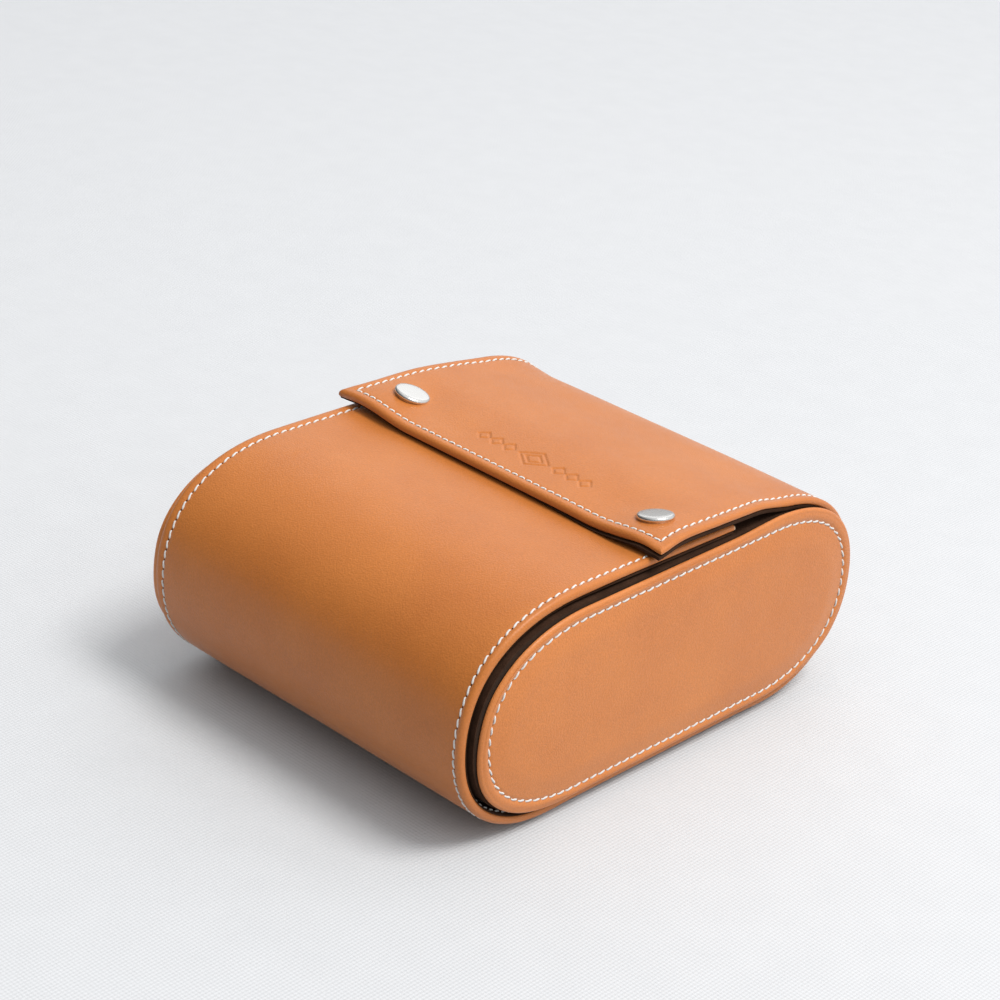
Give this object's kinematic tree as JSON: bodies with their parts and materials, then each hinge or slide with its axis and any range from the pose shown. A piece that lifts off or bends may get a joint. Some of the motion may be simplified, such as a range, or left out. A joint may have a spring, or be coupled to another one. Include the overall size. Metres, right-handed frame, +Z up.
{
  "type": "jewellery case",
  "caption": "Oval-ended leather travel case: a stitched wrap over two thick end panels, closed by a front tongue and a flap with snap caps, over a lined tray.",
  "frame": {"origin": "centre of the flat underside of the case", "axes": "+X towards the right-hand end panel, -Y towards the front (where the flap's free edge lies), +Z up"},
  "size_m": [0.149, 0.19, 0.0858],
  "materials": {
    "tan_leather": "smooth fine-grained tan leather with a soft sheen",
    "stiffening_board": "pressed grey-brown bookbinding board",
    "brown_suede": "dark brown microsuede with a short nap",
    "padding": "dark felt-covered foam",
    "cream_thread": "waxed cream polyester thread",
    "nickel": "bright nickel plate"
  },
  "bodies": {
    "case": {"base_board": "stiffening_board", "base_leather": "tan_leather", "base_lining": "brown_suede", "base_padding": "padding", "base_thread": "cream_thread", "centre_divider": "brown_suede", "cross_divider": "brown_suede", "left_end_board": "stiffening_board", "left_end_leather": "tan_leather", "left_end_rim": "brown_suede", "left_end_suede": "brown_suede", "left_end_thread": "cream_thread", "right_end_board": "stiffening_board", "right_end_leather": "tan_leather", "right_end_rim": "brown_suede", "right_end_suede": "brown_suede", "right_end_thread": "cream_thread", "ring_bed": "padding", "ring_rolls": "brown_suede", "tray_lining": "brown_suede", "tray_shell": "stiffening_board"},
    "front_curve": {"front_curve_board": "stiffening_board", "front_curve_leather": "tan_leather", "front_curve_lining": "brown_suede", "front_curve_thread": "cream_thread"},
    "tongue": {"tongue_board": "stiffening_board", "tongue_leather": "tan_leather", "tongue_lining": "brown_suede", "tongue_thread": "cream_thread", "snap_studs": "nickel", "snap_posts": "nickel"},
    "flap": {"flap_board": "stiffening_board", "flap_leather": "tan_leather", "flap_lining": "brown_suede", "flap_thread": "cream_thread", "snap_caps": "nickel", "snap_sockets": "nickel"}
  },
  "joints": [
    {"name": "flap_hinge", "type": "hinge", "parent": "case", "child": "flap", "pos_m": [0, 0.095, 0.0398], "axis": [-1, 0, 0], "range_deg": [0, 165]},
    {"name": "front_lower_fold", "type": "hinge", "parent": "case", "child": "front_curve", "pos_m": [0, -0.095, 0.0398], "axis": [1, 0, 0], "range_deg": [0, 34]},
    {"name": "front_upper_fold", "type": "hinge", "parent": "front_curve", "child": "tongue", "pos_m": [0, -0.045, 0.0796], "axis": [1, 0, 0], "range_deg": [0, 83]}
  ],
  "couplings": [
    {"joint": "front_lower_fold", "follows": "flap_hinge", "ratio": 0.2},
    {"joint": "front_upper_fold", "follows": "flap_hinge", "ratio": 0.5}
  ]
}
